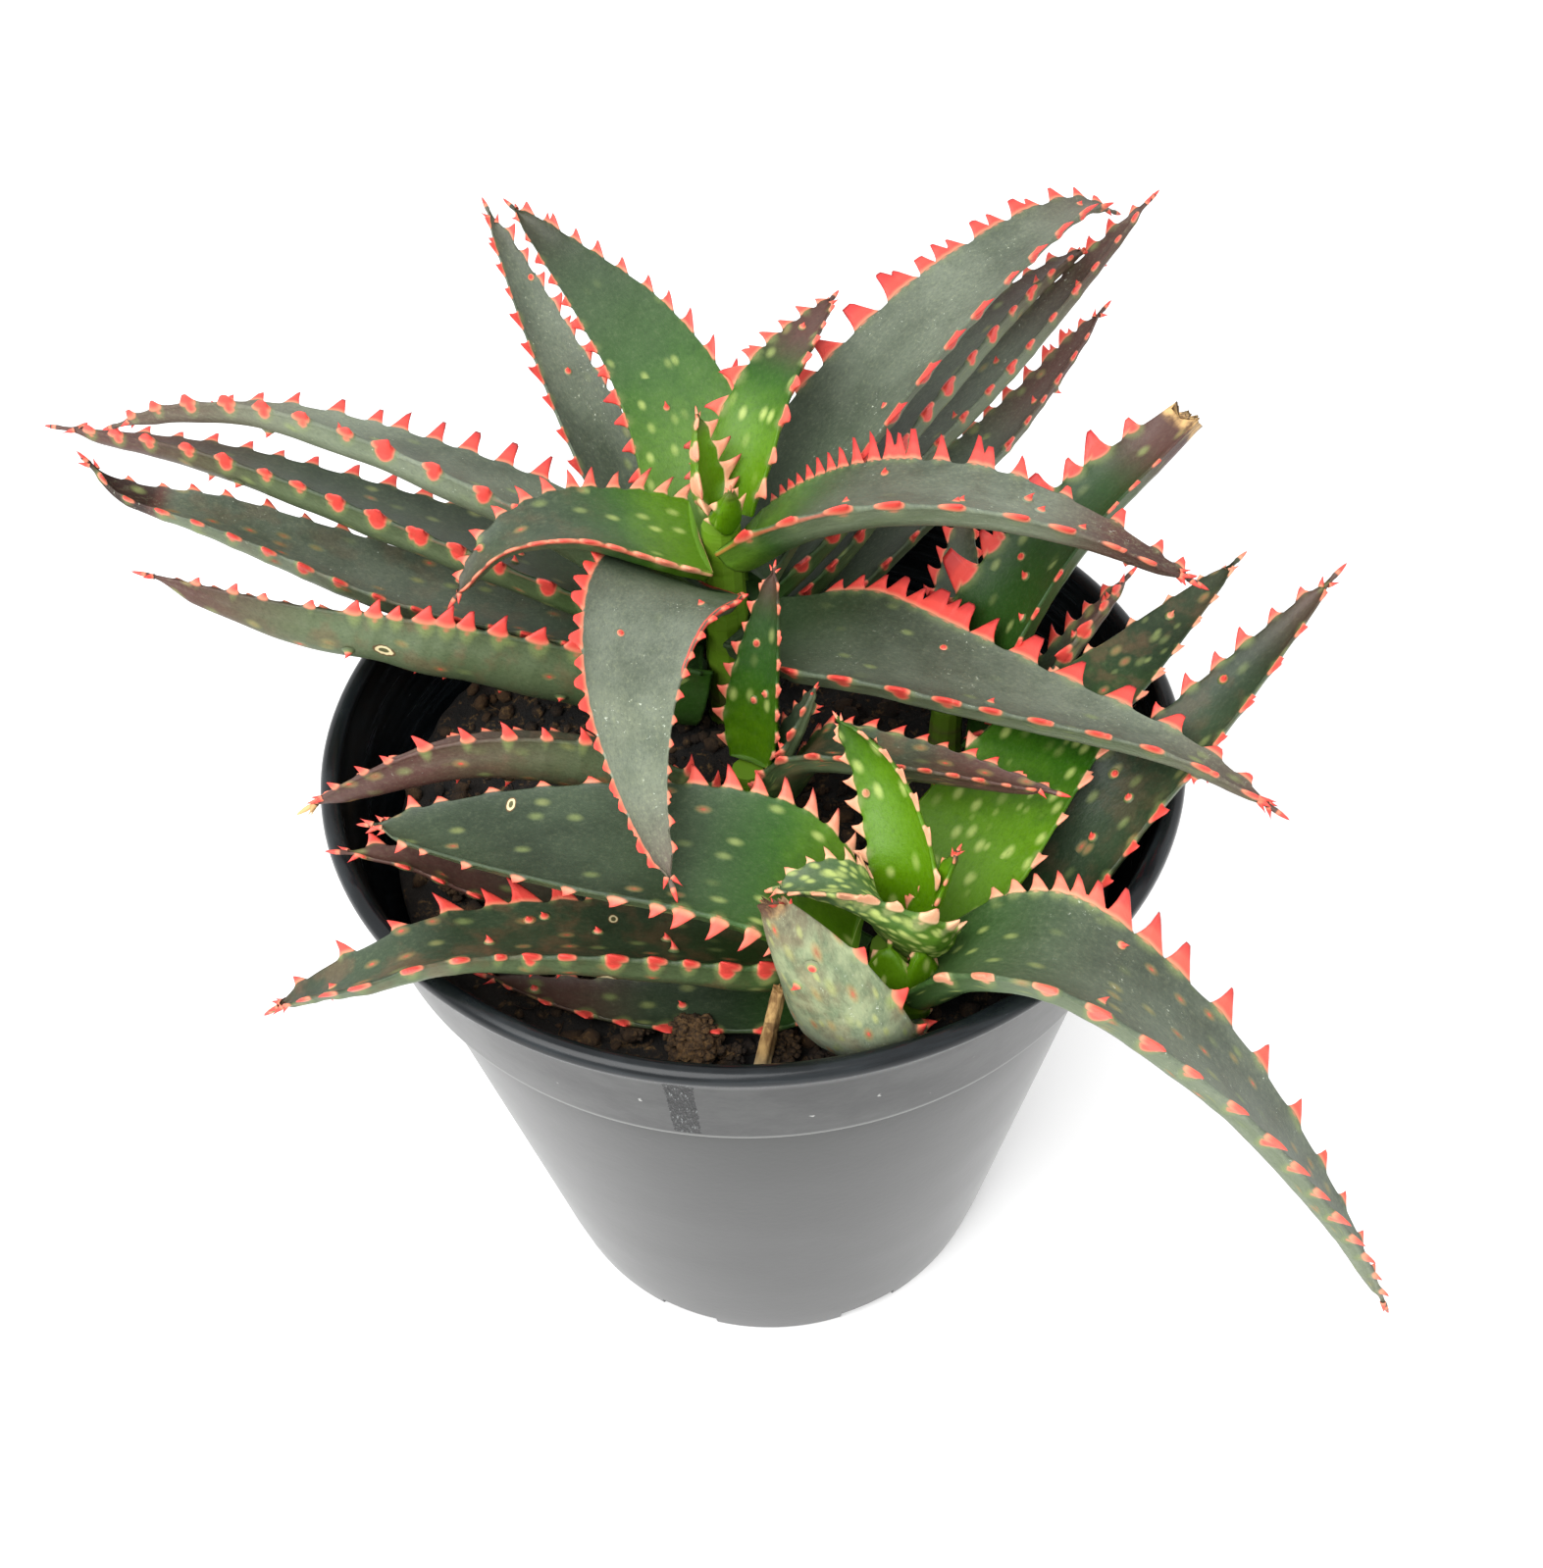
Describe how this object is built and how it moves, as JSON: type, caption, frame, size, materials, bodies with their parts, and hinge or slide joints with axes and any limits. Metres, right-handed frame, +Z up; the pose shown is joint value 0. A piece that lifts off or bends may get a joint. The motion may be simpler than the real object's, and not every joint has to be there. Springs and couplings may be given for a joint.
{
  "type": "potted christmas sleigh aloe",
  "caption": "Potted hybrid aloe: rosettes of thick tapering green leaves with red marginal teeth, standing in the soil of a round black plastic nursery pot.",
  "frame": {"origin": "middle of the pot's flat underside, on the surface that the pot stands on", "axes": "+Z up along the pot's axis, -Y towards the side that the picture is taken from, +X to that viewer's right"},
  "size_m": [0.2266, 0.1939, 0.1944],
  "materials": {
    "leaf": "waxy",
    "young_leaf": "waxy",
    "stem": "matte",
    "pot_plastic": "satin",
    "soil": "matte",
    "straw": "matte"
  },
  "bodies": {
    "root": {"dry_stalk": "straw", "front_leaf_01": "leaf", "front_leaf_02": "leaf", "front_leaf_03": "leaf", "front_leaf_04": "leaf", "front_leaf_05": "leaf", "front_leaf_06": "leaf", "front_leaf_07": "leaf", "front_leaf_08": "young_leaf", "front_leaf_09": "leaf", "front_leaf_10": "leaf", "front_stem": "stem", "main_leaf_01": "leaf", "main_leaf_02": "leaf", "main_leaf_03": "leaf", "main_leaf_04": "leaf", "main_leaf_05": "leaf", "main_leaf_06": "leaf", "main_leaf_07": "leaf", "main_leaf_08": "leaf", "main_leaf_09": "leaf", "main_leaf_10": "leaf", "main_leaf_11": "leaf", "main_leaf_12": "leaf", "main_leaf_13": "leaf", "main_leaf_14": "leaf", "main_leaf_15": "leaf", "main_leaf_16": "young_leaf", "main_leaf_17": "young_leaf", "main_leaf_18": "leaf", "main_leaf_19": "leaf", "main_stem": "stem", "middle_leaf_01": "young_leaf", "middle_leaf_02": "leaf", "middle_leaf_03": "leaf", "middle_leaf_04": "young_leaf", "middle_stem": "stem", "pot": "pot_plastic", "side_leaf_01": "leaf", "side_leaf_02": "leaf", "side_leaf_03": "leaf", "side_stem": "stem", "soil": "soil"}
  },
  "joints": []
}
